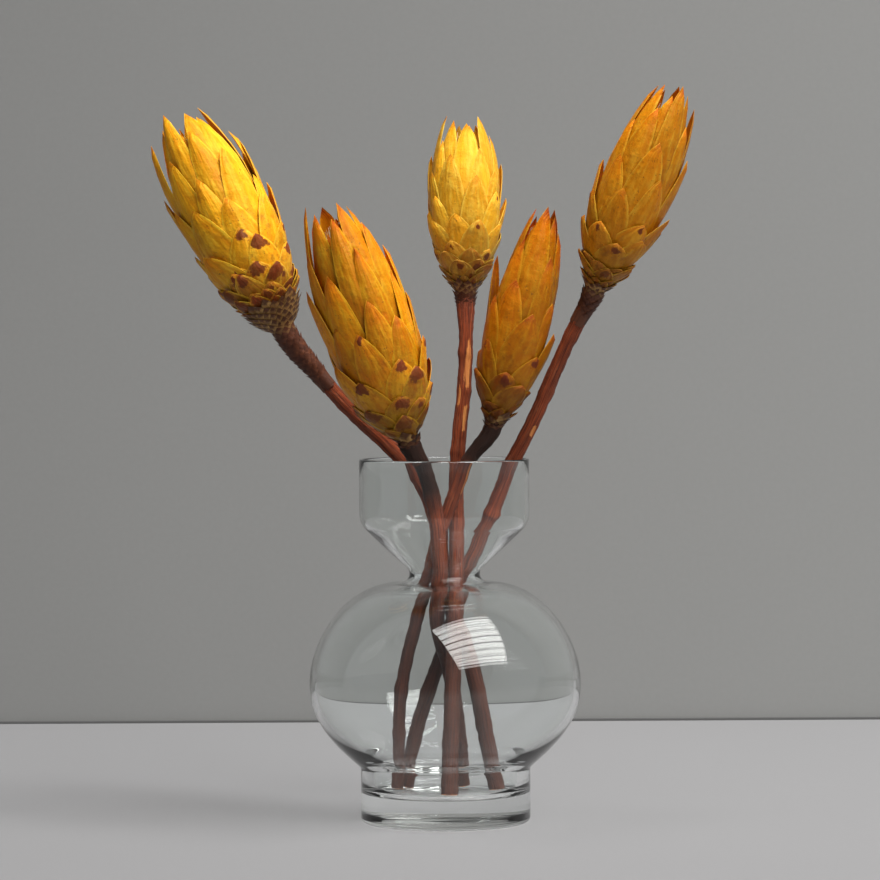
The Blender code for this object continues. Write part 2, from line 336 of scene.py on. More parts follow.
def bract_material(flower):
    """Dry golden bract: ochre below, yellow to orange above, browned tips, blotches and specks; darker
    towards the head's base, and painted shade at each bract's root.
    """
    r = Recipe(
        flower["name"] + "_golden_bract",
        Specular_IOR_Level=0.16,
        Subsurface_Weight=0.10,
        Subsurface_Scale=0.004,
    )
    place = r.place()
    from_tip = r.attribute("from_tip")
    across = r.attribute("across")
    height = r.attribute("height")
    tone = r.attribute("tone")
    browned = r.attribute("browned")
    edge = across.math("ABSOLUTE")

    cloud = r.noise(place, 110.0, 4.0)
    fine = r.noise(place, 480.0, 3.0)
    streaks = r.noise(r.vector(across * 1.6, from_tip * 0.04, tone * 31.0), 2.2, 1.6, 0.5)

    ochre = r.mix(tone, shade(flower["low"], 0.68), shade(flower["low"], 1.20))
    gold = r.mix(tone, shade(flower["gold"], 0.68), shade(flower["gold"], 1.16))
    colour = r.mix(height.fade(0.06, 0.50), ochre, gold)
    colour = r.mix(streaks.fade(0.46, 0.74) * 0.40, colour, shade(flower["pale"]))
    colour = r.mix(streaks.fade(0.50, 0.26) * 0.40, colour, shade(flower["deep"]))
    colour = r.mix(cloud.fade(0.52, 0.72) * 0.40, colour, shade(flower["pale"], 0.85))
    colour = r.mix(cloud.fade(0.47, 0.28) * 0.50, colour, shade(flower["deep"]))

    mottle = r.noise(place, 190.0, 4.0, 0.65).fade(0.54, 0.70)
    colour = r.mix(mottle * (0.22 + 0.5 * (1 - height)), colour, shade(flower["deep"], 0.55))

    redness = flower["redness"]
    reach = from_tip + cloud * 10.0 - tone * 6.0
    blush = reach.fade(12.0 + 14.0 * redness, 2.0) * (height.fade(0.25, 0.9) * 0.8 + 0.1)
    colour = r.mix(blush * (0.35 + 0.6 * redness), colour, rgb(0.62, 0.150, 0.001))

    ragged = from_tip + (fine - 0.5) * 5.0 + (streaks - 0.5) * 5.0
    burnt = ragged.fade(4.6 + 4.0 * redness, 0.2)
    crown = height.fade(0.60, 0.95) * 0.35 + 0.25 + 0.4 * redness
    colour = r.mix(burnt * crown, colour, rgb(0.42 - 0.2 * redness, 0.075 - 0.045 * redness, 0.004))
    spot_along = (from_tip - 3.2) * 0.25
    spot_across = across * 1.35
    spot = (spot_along * spot_along + spot_across * spot_across).math("SQRT")
    blotch = (spot + (fine - 0.5) * 1.1 + (cloud - 0.5) * 1.2 - browned).fade(0.12, -0.12)
    colour = r.mix(blotch * 0.92, colour, r.mix(cloud, rgb(0.05, 0.012, 0.006), rgb(0.20, 0.030, 0.010)))
    size = r.attribute("size")
    # Painted shade: darker towards each bract's root, where it comes out from under the bracts below.
    painted_crevice_shade = (from_tip.math("DIVIDE", size) + (cloud - 0.5) * 0.5).fade(0.55, 1.25)
    colour = r.mix(painted_crevice_shade * 0.62, colour, shade(flower["deep"], 0.40))
    specks = r.noise(place, 820.0, 2.0, 0.7).fade(0.63, 0.70) * r.noise(place, 70.0).fade(0.42, 0.60)
    colour = r.mix(specks * 0.8 * flower["spots"], colour, rgb(0.15, 0.055, 0.010))
    # Darker towards the head's base.
    darker_near_base = (height + (cloud - 0.5) * 0.5).fade(0.34, 0.02)
    colour = r.mix(darker_near_base * 0.60, colour, rgb(0.16, 0.058, 0.010))
    stains = r.noise(place, 210.0, 3.0).fade(0.58, 0.70) * height.fade(0.8, 0.1)
    colour = r.mix(stains * 0.55 * flower["spots"], colour, rgb(0.20, 0.075, 0.012))
    rim = (edge + (fine - 0.5) * 0.2).fade(0.80, 1.0)
    colour = r.mix(rim * 0.5, colour, shade(flower["pale"], 0.9))

    ridges = r.noise(r.vector(across * 1.7, from_tip * 0.03, tone * 17.0), 2.2, 1.0, 0.5)
    relief = ridges * 0.6 + cloud * 1.4 + fine * 0.3
    return r.finish(
        Base_Color=colour,
        Roughness=fine * 0.22 + 0.34 + burnt * 0.15,
        Normal=r.bump(relief, 0.8, 0.0009),
    )


def scale_material(flower):
    """Small base scales: tan with a dark brown upper half and a pale lower edge."""
    r = Recipe(flower["name"] + "_brown_scale", Specular_IOR_Level=0.3)
    place = r.place()
    from_tip = r.attribute("from_tip")
    edge = r.attribute("across").math("ABSOLUTE")
    tone = r.attribute("tone")
    height = r.attribute("height")
    fine = r.noise(place, 700.0, 3.0)
    tan = r.mix(tone, rgb(0.36, 0.19, 0.06), rgb(0.50, 0.30, 0.10))
    bark = r.mix(tone, rgb(0.05, 0.016, 0.009), rgb(0.13, 0.042, 0.018))
    colour = r.mix(height.fade(-0.03, 0.04), bark, tan)
    size = r.attribute("size")
    ragged = from_tip.math("DIVIDE", size) + (fine - 0.5) * 0.5 + edge * 0.25
    colour = r.mix(ragged.fade(0.78, 0.40) * 0.93, colour, rgb(0.075, 0.022, 0.010))
    colour = r.mix(edge.fade(0.75, 1.0) * 0.6, colour, rgb(0.06, 0.02, 0.01))
    return r.finish(
        Base_Color=colour, Roughness=fine * 0.25 + 0.45, Normal=r.bump(fine, 0.5, 0.0005)
    )


def bark_material(flower):
    """Red-brown bark, stretched along the stem, with dark necks, grey patches, bare wood, and painted
    shade low on the stem inside the vase.
    """
    r = Recipe(flower["name"] + "_bark", Specular_IOR_Level=0.3)
    place = r.place()
    along = r.attribute("along")
    around_x = r.attribute("around_x")
    around_y = r.attribute("around_y")
    bare = r.attribute("bare")
    dark = r.attribute("dark")
    stretched = r.vector(around_x * 2.6, around_y * 2.6, along * 55.0)
    fibres = r.noise(r.vector(around_x * 5.0, around_y * 5.0, along * 26.0), 2.2, 4.0, 0.62)
    flakes = r.noise(stretched, 1.6, 4.0, 0.6)
    fine = r.noise(place, 900.0, 3.0)
    lenticels = r.cells(r.vector(around_x * 1.4, around_y * 1.4, along * 110.0), 1.2)
    colour = r.mix(fibres.fade(0.35, 0.66), rgb(0.070, 0.013, 0.006), rgb(0.34, 0.066, 0.018))
    colour = r.mix(flakes.fade(0.56, 0.70) * 0.55, colour, rgb(0.22, 0.080, 0.036))
    colour = r.mix(lenticels.fade(0.16, 0.08) * 0.4, colour, rgb(0.30, 0.12, 0.06))
    colour = r.mix(flakes.fade(0.40, 0.28) * 0.6, colour, rgb(0.030, 0.012, 0.008))
    # The dark mark: dark necks and darkening just below the head, and painted shade on the stem inside
    # the vase.
    colour = r.mix(dark, colour, r.mix(fibres, rgb(0.009, 0.004, 0.003), rgb(0.042, 0.015, 0.008)))
    wood = r.mix(fibres.fade(0.35, 0.65), rgb(0.42, 0.11, 0.03), rgb(0.80, 0.33, 0.09))
    torn = bare + (fine - 0.5) * 0.35 + (flakes - 0.5) * 1.1
    colour = r.mix(torn.fade(0.42, 0.58), colour, wood)
    relief = fibres * 0.8 + flakes * 0.6 + fine * 0.25
    return r.finish(
        Base_Color=colour, Roughness=fine * 0.25 + 0.5, Normal=r.bump(relief, 0.8, 0.0009)
    )


def receptacle_material(flower):
    """Dark pithy wood."""
    r = Recipe(flower["name"] + "_woody_core", Specular_IOR_Level=0.25)
    place = r.place()
    coarse = r.noise(place, 260.0, 4.0)
    colour = r.mix(coarse, rgb(0.05, 0.02, 0.01), rgb(0.20, 0.10, 0.04))
    return r.finish(Base_Color=colour, Roughness=0.8, Normal=r.bump(coarse, 0.6, 0.0006))


def floret_material():
    """Dry pinkish-white style hairs, streaked with yellower tan."""
    r = Recipe("floret_down", Specular_IOR_Level=0.25, Sheen_Weight=0.3)
    place = r.place()
    strand = r.noise(place, 500.0, 3.0)
    colour = r.mix(strand, rgb(0.62, 0.42, 0.20), rgb(0.86, 0.74, 0.55))
    return r.finish(Base_Color=colour, Roughness=0.85, Normal=r.bump(strand, 0.4, 0.0004))


def glass_material():
    """Clear glass with a faint green tint and the slightest unevenness."""
    r = Recipe("vase_glass", Transmission_Weight=1.0, IOR=1.5, Roughness=0.0)
    r.shader.inputs["Base Color"].default_value = rgb(0.97, 0.992, 0.984)
    swell = r.noise(r.place(), 24.0, 1.0, 0.4)
    return r.finish(Normal=r.bump(swell, 0.10, 0.0012))


def plain_material(name, colour, roughness, mottle, painted_light_slope=(0, 0, 0)):
    """A faintly mottled paint, whose strength changes evenly per metre along X, Y and Z: painted light
    and shade.
    """
    r = Recipe(name, Specular_IOR_Level=0.25, Roughness=roughness)
    place = r.place()
    parts = [r.node("ShaderNodeSeparateXYZ", None, [place], k) for k in range(3)]
    weave = r.noise(place, 340.0, 2.0) * 0.6 + r.noise(place, 3.0, 2.0) * 0.4
    strength = 1.0 - mottle + weave * (2 * mottle)
    for part, rate in zip(parts, painted_light_slope):
        strength = strength + part * rate
    tint = r.mix(strength * 0.5, rgb(0, 0, 0), shade(colour, 2))
    return r.finish(Base_Color=tint)


# ---------------------------------------------------------------- modelling helpers
def nothing_selected():
    bpy.ops.object.select_all(action="DESELECT")


def activate(thing):
    nothing_selected()
    thing.select_set(True)
    bpy.context.view_layer.objects.active = thing


def apply_modifier(thing, kind, **settings):
    activate(thing)
    bpy.ops.object.modifier_add(type=kind)
    modifier = thing.modifiers[-1]
    for key, value in settings.items():
        setattr(modifier, key, value)
    bpy.ops.object.modifier_apply(modifier=modifier.name)


def points_of(mesh):
    places = np.empty(len(mesh.vertices) * 3)
    mesh.vertices.foreach_get("co", places)
    return places.reshape(-1, 3)


def set_points(mesh, places):
    mesh.vertices.foreach_set("co", np.asarray(places, float).ravel())
    mesh.update()


def read_marks(mesh, name):
    marks = np.empty(len(mesh.vertices))
    mesh.attributes[name].data.foreach_get("value", marks)
    return marks


def write_marks(mesh, name, marks):
    layer = mesh.attributes.get(name) or mesh.attributes.new(name, "FLOAT", "POINT")
    layer.data.foreach_set("value", np.broadcast_to(marks, len(mesh.vertices)).astype(float))


def smooth(thing, degrees=50):
    activate(thing)
    bpy.ops.object.shade_smooth_by_angle(angle=math.radians(degrees))


def joined(name, things):
    nothing_selected()
    for thing in things:
        thing.select_set(True)
    bpy.context.view_layer.objects.active = things[0]
    bpy.ops.object.join()
    made = bpy.context.view_layer.objects.active
    made.name = name
    made.data.name = name
    return made


def settle(piece, material, slot, *nodes):
    """Gives a finished piece its material and its body, and hides the CAD nodes that it stands for."""
    piece.data.materials.clear()
    piece.data.materials.append(material)
    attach(piece, BODY)
    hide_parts(*nodes)


# ---------------------------------------------------------------- vase
def curve_points(start, pull_start, pull_end, end, steps):
    t = np.arange(steps)[:, None] / steps
    parts = [np.array(p) for p in (start, pull_start, pull_end, end)]
    rows = (1 - t) ** 3 * parts[0] + 3 * t * (1 - t) ** 2 * parts[1]
    rows = rows + 3 * t * t * (1 - t) * parts[2] + t**3 * parts[3]
    return [tuple(row) for row in rows]


def arc_points(centre, radius, start_deg, end_deg, steps):
    angles = np.radians(np.linspace(start_deg, end_deg, steps + 1))
    return [(centre[0] + radius * math.cos(a), centre[1] + radius * math.sin(a)) for a in angles]


def vase_outside():
    foot_corner = (FOOT_RADIUS - FOOT_ROUNDING, FOOT_ROUNDING)
    foot_top = (FOOT_RADIUS + 0.6 * MM, FOOT_TOP + 0.8 * MM)
    middle = (BULB_RADIUS, BULB_MIDDLE)
    cone_base = (18.2 * MM, 113.6 * MM)
    rim = CUP_WALL / 2
    return (
        [(3 * MM, 0.4 * MM), (26 * MM, 0.4 * MM), (28 * MM, 0.0)]
        + arc_points(foot_corner, FOOT_ROUNDING, -90, 0, 8)
        + [(FOOT_RADIUS, 8 * MM), (FOOT_RADIUS, 16 * MM), (FOOT_RADIUS, FOOT_TOP - 1.2 * MM)]
        + [(FOOT_RADIUS + 0.05 * MM, FOOT_TOP - 0.4 * MM), (FOOT_RADIUS + 0.2 * MM, FOOT_TOP + 0.2 * MM)]
        + curve_points(foot_top, (53 * MM, 37.5 * MM), (BULB_RADIUS, 47 * MM), middle, 22)
        + curve_points(middle, (BULB_RADIUS, 80.3 * MM), (43.5 * MM, SHOULDER[1]), SHOULDER, 28)
        + curve_points(SHOULDER, (14.2 * MM, SHOULDER[1]), (14.2 * MM, 110.8 * MM), cone_base, 18)
        + curve_points(cone_base, (23.7 * MM, 118.7 * MM), (29.2 * MM, 123.7 * MM),
                       arc_points(CUP_TURN, CUP_RADIUS - CUP_TURN[0], -46, 0, 1)[0], 5)
        + arc_points(CUP_TURN, CUP_RADIUS - CUP_TURN[0], -46, 0, 9)
        + [(CUP_RADIUS, 144 * MM), (CUP_RADIUS, 152 * MM)]
        + arc_points((CUP_RADIUS - rim, VASE_HEIGHT - rim), rim, 0, 180, 10)
    )


def vase_inside():
    bulb = (BULB_RADIUS - BULB_WALL, BULB_MIDDLE)
    cone_base = (16.7 * MM, 115.2 * MM)
    shoulder = (SHOULDER[0] - 0.5 * MM, SHOULDER[1] - 2.4 * MM)
    well_top = (WELL_RADIUS + 2.0 * MM, FOOT_TOP + 3.0 * MM)
    cup = arc_points(CUP_TURN, CUP_RADIUS - CUP_WALL - CUP_TURN[0], 0, -46, 9)
    return (
        [(CUP_RADIUS - CUP_WALL, 152 * MM), (CUP_RADIUS - CUP_WALL, 144 * MM)]
        + cup
        + curve_points(cup[-1], (27.5 * MM, 125.2 * MM), (22.0 * MM, 120.2 * MM), cone_base, 5)[1:]
        + curve_points(cone_base, (11.6 * MM, 110.6 * MM), (11.6 * MM, shoulder[1]), shoulder, 18)
        + curve_points(shoulder, (42.2 * MM, shoulder[1]), (bulb[0] + 0.5 * MM, 79.8 * MM), bulb, 28)
        + curve_points(bulb, (bulb[0], 47.5 * MM), (50.3 * MM, 38.0 * MM), well_top, 22)
        + curve_points(well_top, (WELL_RADIUS + 0.4 * MM, FOOT_TOP + 1.8 * MM),
                       (WELL_RADIUS, FOOT_TOP + 0.5 * MM), (WELL_RADIUS, FOOT_TOP - 3 * MM), 6)
        + arc_points(
            (WELL_RADIUS - WELL_ROUNDING, FLOOR_HEIGHT + WELL_ROUNDING), WELL_ROUNDING, 0, -90, 10
        )
        + [(12 * MM, FLOOR_HEIGHT), (3 * MM, FLOOR_HEIGHT)]
    )


def make_vase():
    """One closed wall of glass, drawn up ring by ring from the underside and down the inside."""
    profile = vase_outside() + vase_inside()
    radius, height = profile[0]
    nothing_selected()
    bpy.ops.mesh.primitive_circle_add(
        vertices=VASE_STEPS, radius=radius, fill_type="NGON", location=(0, 0, height)
    )
    vase = bpy.context.object
    bpy.ops.object.transform_apply(location=True)
    bpy.ops.object.mode_set(mode="EDIT")
    for next_radius, next_height in profile[1:]:
        bpy.ops.mesh.extrude_edges_move(
            TRANSFORM_OT_translate={"value": (0, 0, next_height - height)}
        )
        growth = next_radius / radius
        bpy.ops.transform.resize(
            value=(growth, growth, 1), center_override=(0, 0, next_height)
        )
        radius, height = next_radius, next_height
    bpy.ops.mesh.edge_face_add()
    bpy.ops.mesh.select_all(action="SELECT")
    bpy.ops.mesh.normals_make_consistent(inside=False)
    bpy.ops.object.mode_set(mode="OBJECT")
    vase.name = vase.data.name = "glass_vase"
    smooth(vase, 35)
    vase.visible_shadow = False
    settle(vase, glass_material(), "glass", "vase")


# ---------------------------------------------------------------- a flower's centre line and frame
class Spine:
    """The line from the stem's foot to the head's tip, with a frame across it at every point."""

    def __init__(self, flower):
        self.flower = flower
        base, tip = Vector(flower["base"]), Vector(flower["tip"])
        self.length = (tip - base).length
        self.axis = (tip - base).normalized()
        self.stem_curve, stem_line = self.draw_stem()
        head_line = [base + self.axis * self.length * i / 60 for i in range(0, 62)]
        line = np.array([tuple(p) for p in stem_line + head_line])
        steps = np.linalg.norm(np.diff(line, axis=0), axis=1)
        run = np.concatenate([[0], np.cumsum(steps)])
        keep = np.concatenate([[True], steps > 1e-6])
        self.line, run = line[keep], run[keep]
        self.stem_length = run[-1] - self.length * 61 / 60
        self.share = (run - self.stem_length) / self.length
        tangent = np.gradient(self.line, run, axis=0)
        for _ in range(3):
            tangent[1:-1] = (tangent[:-2] + 2 * tangent[1:-1] + tangent[2:]) / 4
        self.tangent = tangent / np.linalg.norm(tangent, axis=1)[:, None]

    def draw_stem(self):
        """The stem as a curve, and points along its centre line."""
        flower = self.flower
        foot_radius, top_radius, neck_radius = flower["stem_radii"]
        route = [Vector(p) for p in flower["route"]]
        foot = Vector((*flower["foot"], FLOOR_HEIGHT / MM))
        lean = (route[0] - foot).normalized()
        foot.z += GAP + foot_radius * math.sqrt(1 - lean.z**2)
        base = Vector(flower["base"])
        points = [foot, foot + lean * 12, *route, base - self.axis * RUN_IN, base - self.axis * GAP]
        nothing_selected()
        bpy.ops.curve.primitive_bezier_curve_add(location=(0, 0, 0))
        thing = bpy.context.object
        curve = thing.data
        curve.bevel_depth = foot_radius * MM
        curve.bevel_resolution = 7
        curve.resolution_u = 18
        curve.use_fill_caps = True
        spline = curve.splines[0]
        spline.bezier_points.add(len(points) - len(spline.bezier_points))
        for i, (knot, place) in enumerate(zip(spline.bezier_points, points)):
            knot.co = place * MM
            knot.handle_left_type = knot.handle_right_type = "AUTO"
            share = i / (len(points) - 1)
            radius = foot_radius + (top_radius - foot_radius) * share
            if i >= len(points) - 2:
                radius = neck_radius
            knot.radius = radius / foot_radius
        bpy.context.view_layer.update()
        line = []
        knots = spline.bezier_points
        for first, second in zip(knots, knots[1:]):
            weights = np.linspace(0, 1, 25)[:, None]
            parts = [
                np.array(p) / MM
                for p in (first.co, first.handle_right, second.handle_left, second.co)
            ]
            w = 1 - weights
            run = w**3 * parts[0] + 3 * w * w * weights * parts[1]
            run = run + 3 * w * weights**2 * parts[2] + weights**3 * parts[3]
            line.extend(Vector(p) for p in run[:-1])
        line.append(Vector(knots[-1].co) / MM)
        return thing, line

    def frame_at(self, share):
        """Centre, rightward and away-from-viewer unit vectors at shares of the head's length."""
        centre = np.stack([np.interp(share, self.share, self.line[:, k]) for k in range(3)], 1)
        tangent = np.stack([np.interp(share, self.share, self.tangent[:, k]) for k in range(3)], 1)
        tangent /= np.linalg.norm(tangent, axis=1)[:, None]
        right = np.array([1.0, 0, 0]) - tangent[:, :1] * tangent
        right /= np.linalg.norm(right, axis=1)[:, None]
        away = np.cross(tangent, right)
        return centre, right, away

    def lay(self, share, radius, angle):
        """World points, in metres, at shares along, distances from and angles round the line."""
        centre, right, away = self.frame_at(share)
        out = np.cos(angle)[:, None] * right + np.sin(angle)[:, None] * away
        return (centre + out * radius[:, None]) * MM

    def outline(self, share):
        """The head's silhouette radius, in mm."""
        flower = self.flower
        widest, tip, at = flower["head_radius"], flower["tip_radius"], flower["widest_at"]
        share = np.asarray(share, float)
        low = np.clip(share / at, 0, 1)
        high = np.clip((share - at) / (1 - at), 0, 1)
        neck = max(NECK_RADIUS, flower["stem_radii"][2] + 0.5)
        rise = neck + 0.5 + (widest - neck - 0.5) * np.sin(math.pi / 2 * low ** flower["taper"])
        fall = tip + (widest - tip) * np.cos(math.pi / 2 * high**1.25)
        radius = np.where(share <= at, rise, fall)
        stem = flower["stem_radii"][1] + 0.55
        slim = np.clip(-share / flower["neck_scales"], 0, 1)
        return np.where(share < 0, neck + 0.5 + (stem - neck - 0.5) * slim**1.6, radius)


# ---------------------------------------------------------------- bracts and scales
def flat_leaf(across, along, width_at, crowd):
    """A thin blank lying flat: 1 long from the origin towards +Y and 1 wide, pointed at its far end."""
    nothing_selected()
    bpy.ops.mesh.primitive_grid_add(
        x_subdivisions=across, y_subdivisions=along, size=1, location=(0, 0.5, 0)
    )
    blank = bpy.context.object
    bpy.ops.object.transform_apply(location=True)
    places = points_of(blank.data)
    write_marks(blank.data, "across", places[:, 0] * 2)
    write_marks(blank.data, "run", 1 - (1 - places[:, 1]) ** crowd)
    bpy.ops.object.mode_set(mode="EDIT")
    bpy.ops.mesh.select_mode(type="VERT")
    form = bmesh.from_edit_mesh(blank.data)
    for row in range(along + 1):
        start = row / along
        run = 1 - (1 - start) ** crowd
        form.verts.ensure_lookup_table()
        for vert in form.verts:
            vert.select = abs(vert.co.y - start) < 1e-4 and not vert.hide
        form.select_flush_mode()
        bmesh.update_edit_mesh(blank.data)
        narrow = max(width_at(run), 1e-4)
        bpy.ops.transform.resize(value=(narrow, 1, 1), center_override=(0, start, 0))
    for vert in form.verts:
        vert.select = vert.co.y > 1 - 1e-4
    form.select_flush_mode()
    bmesh.update_edit_mesh(blank.data)
    bpy.ops.mesh.merge(type="CENTER")
    bpy.ops.object.mode_set(mode="OBJECT")
    write_marks(blank.data, "run", 1 - (1 - points_of(blank.data)[:, 1]) ** crowd)
    apply_modifier(blank, "SOLIDIFY", thickness=1.0, offset=-1.0)
    return blank


def bract_width(run):
    """Broad to past the middle, then drawn in to a point, as a share of the widest."""
    foot = 0.62 + 0.38 * math.sin(math.pi / 2 * min(run / 0.5, 1))
    point = max(run - 0.5, 0) / 0.5
    return foot * (1 - point**2.1) ** 0.8


def scale_width(run):
    """Nearly square, with a blunt point."""
    point = max(run - 0.6, 0) / 0.4
    return 0.95 * (1 - point**2.6) ** 0.75


class Whorl:
    """The spiral that a flower's scales and bracts follow, from its neck to its tip."""

    def __init__(self, spine):
        self.spine = spine
        flower = spine.flower
        self.shares, self.sizes, self.heights = [], [], []
        share = -flower["neck_scales"]
        while share < 1.0:
            width, visible = self.size(share)
            self.shares.append(share)
            self.sizes.append(width)
            self.heights.append(visible)
            girth = 2 * math.pi * float(spine.outline(share)) * spine.length
            share += SPIRAL_STEP * width * visible / girth
        last = self.shares[-1]
        start = -flower["neck_scales"]
        self.shares = [start + (s - start) * (1.0 - start) / (last - start) for s in self.shares]
        for i in range(HEART_BRACTS):
            self.shares.append(0.985 - 0.16 * i / HEART_BRACTS)
            self.sizes.append(width)
            self.heights.append(visible)
        self.count = len(self.shares)
        self.crown = self.count - HEART_BRACTS

    def size(self, share):
        """Visible width and height, in mm, of what has its tip at this share."""
        flower = self.spine.flower
        knots = (-1, 0.0, 0.04, 0.09, 0.16, 0.26, 0.42, 0.7, 1.2)
        widths = (2.6, 3.3, 4.6, 7.2, 9.2, 10.6, 10.6, 9.4, 8.2)
        shapes = (0.9, 0.9, 0.95, 1.1, 1.4, 2.1, 3.1, 3.9, 4.0)
        place = share - flower["scaly"]
        if share < 0:
            place = share
        width = float(np.interp(place, knots, widths)) * flower["bract_size"]
        slender = 1 + (flower["slender"] - 1) * min(max(share, 0) / 0.3, 1)
        return width, width * float(np.interp(place, knots, shapes)) * slender

    def nearest(self, degrees, share):
        """The number of the leaf that stands nearest a direction round the head and a tip share."""
        seed = self.spine.flower["seed"]

        def miss(number):
            turn = GOLDEN_TURN * number + seed - math.radians(degrees)
            return 1 - math.cos(turn) + abs(self.shares[number] - share) * 4

        return min(range(self.crown), key=miss)

    def first_at(self, share):
        """The number, with its fraction, of the leaf whose tip is at a share."""
        return np.interp(share, self.shares[: self.crown], np.arange(self.crown))


def lay_leaf(blank, whorl, number, chance, wide_enough, lift=0.0, loose=False):
    """Copies the blank and bends the copy round the head as the spiral's leaf of that number."""
    spine = whorl.spine
    flower = spine.flower
    leaf = blank.copy()
    leaf.data = blank.data.copy()
    bpy.context.scene.collection.objects.link(leaf)
    mesh = leaf.data
    places = points_of(mesh)
    across = read_marks(mesh, "across")
    run = read_marks(mesh, "run")
    under = places[:, 2] < -0.5

    tip = whorl.shares[number]
    visible = whorl.heights[number]
    heart = max(number - whorl.crown + 1, 0)
    large = min(max((whorl.sizes[number] - 4) / 6, 0), 1)
    long = min(max((visible - 8) / 20, 0), 1)
    length = visible * (2.4 - 0.5 * long) * chance.uniform(0.9, 1.1)
    width = whorl.sizes[number] * wide_enough * chance.uniform(0.84, 1.16)
    tip_share = tip + chance.uniform(-0.05, 0.05) * large * (1 - tip**4)
    root_share = tip_share - length / spine.length
    floor = 0.02 if tip > 0.12 else -1.0
    root_share = max(root_share, floor)
    length = (tip_share - root_share) * spine.length
    share = root_share + (tip_share - root_share) * run

    ahead = np.maximum(whorl.first_at(np.full_like(share, tip)), number) - whorl.first_at(share)
    outline = spine.outline(share)
    cap = 0.5 * outline
    step = 0.05 + 0.20 * large
    depth = cap * (1 - np.exp(-step * np.clip(ahead, 0, None) / cap))
    depth += heart * 0.32 * (0.4 + 0.6 * run)
    thickness = (0.28 + 0.30 * large) * (1 - 0.55 * across**2) * (1 - 0.5 * run**4)

    lifted = chance.random() ** 5 * (tip < 0.8)
    flare = (0.2 + 0.6 * large) * (chance.uniform(-0.4, 0.25) + 1.6 * lifted) * (1 - 0.4 * tip)
    curl = chance.uniform(-0.9, 0.35) * large
    hollow = (0.25 + 1.2 * large) * chance.uniform(0.6, 1.35)
    crest = 0.30 * large * np.exp(-((across / 0.22) ** 2)) * run**2
    radius = outline - depth
    radius += flare * run**3 * 1.5 + curl * np.clip(run - 0.75, 0, None) * 6
    radius -= hollow * across**2 * (0.35 + 0.65 * run**2) * (1 - 0.5 * run**6)
    radius += crest - thickness * under
    if tip < 0:
        radius += 0.45 * run**2
    radius += lift * run**3
    if loose:
        radius += 5.0 * np.clip(run - 0.55, 0, None) ** 1.5 + 0.6
        width *= 0.36
    waves = chance.uniform(0, 6.28)
    radius += 0.22 * large * np.sin(run * 8 + waves) * across

    turn = GOLDEN_TURN * number + flower["seed"] + chance.uniform(-0.22, 0.22) * large
    lean = chance.uniform(-0.16, 0.16) * large
    bow = chance.uniform(-0.10, 0.10) * large
    reach = places[:, 0] * width / np.maximum(radius, 3.0)
    angle = turn + reach + lean * (run - 0.6) + bow * (run - 0.6) ** 2 * 4
    set_points(mesh, spine.lay(share, radius, angle))

    write_marks(mesh, "from_tip", (1 - run) * length)
    write_marks(mesh, "size", visible)
    write_marks(mesh, "height", tip)
    write_marks(mesh, "tone", chance.random())
    likely = flower["tip_brown"] * min(max((0.55 - tip) / 0.32, 0), 1)
    browned = chance.random() < likely
    write_marks(mesh, "browned", chance.uniform(*flower["spot_sizes"]) if browned else -2.0)
    return leaf


def make_leaves(flower, spine, bract_blank, scale_blank):
    whorl = Whorl(spine)
    chance = random.Random(flower["seed"])
    name = flower["name"]
    scale_end = SCALES_END + max(flower["scaly"], 0)
    groups = {"scales": [], **{row: [] for row in ROW_NAMES}}
    strays = {whorl.nearest(degrees, share): lift for degrees, share, lift in flower["strays"]}
    for number in range(whorl.count):
        tip = whorl.shares[number]
        if tip < scale_end:
            groups["scales"].append(lay_leaf(scale_blank, whorl, number, chance, SCALE_SPREAD))
            continue
        share = (tip - scale_end) / (1 - scale_end)
        row = ROW_NAMES[min(int(np.interp(share, (0, 0.3, 0.55, 0.8, 1), (0, 1, 2, 3, 4))), 3)]
        if number >= whorl.crown:
            row = "inner"
        lift = strays.get(number, 0.0)
        groups[row].append(lay_leaf(bract_blank, whorl, number, chance, BRACT_SPREAD, lift))
    for back in range(flower.get("loose", 0)):
        number = whorl.crown - 2 - 3 * back
        strip = lay_leaf(bract_blank, whorl, number, chance, LOOSE_SPREAD, loose=True)
        groups["inner"].append(strip)
    scales = joined(name + "_base_scales", groups["scales"])
    smooth(scales)
    settle(scales, scale_material(flower), "brown_scale", name + "_scales")
    gold = bract_material(flower)
    for row in ROW_NAMES:
        piece = joined(f"{name}_{row}_bracts", groups[row])
        smooth(piece)
        settle(piece, gold, "golden_bract", f"{name}_bracts_{row}")


def make_core(flower, spine):
    """The woody receptacle under the scales, a squat solid that follows the head's own taper."""
    nothing_selected()
    bpy.ops.mesh.primitive_cylinder_add(vertices=40, radius=1, depth=1, location=(0, 0, 0.5))
    core = bpy.context.object
    bpy.ops.object.transform_apply(location=True)
    bpy.ops.object.mode_set(mode="EDIT")
    for height in (0.1, 0.25, 0.45, 0.65, 0.85):
        bpy.ops.mesh.select_all(action="SELECT")
        bpy.ops.mesh.bisect(plane_co=(0, 0, height), plane_no=(0, 0, 1))
    bpy.ops.object.mode_set(mode="OBJECT")
    core.name = core.data.name = flower["name"] + "_woody_core"
    places = points_of(core.data)
    share = CORE_REACH * places[:, 2]
    radius = (spine.outline(share) * (0.88 - 0.2 * places[:, 2]) - 0.5) * np.hypot(*places[:, :2].T)
    angle = np.arctan2(places[:, 1], places[:, 0])
    set_points(core.data, spine.lay(share, radius, angle))
    smooth(core)
    settle(core, receptacle_material(flower), "woody_receptacle", flower["name"] + "_receptacle")


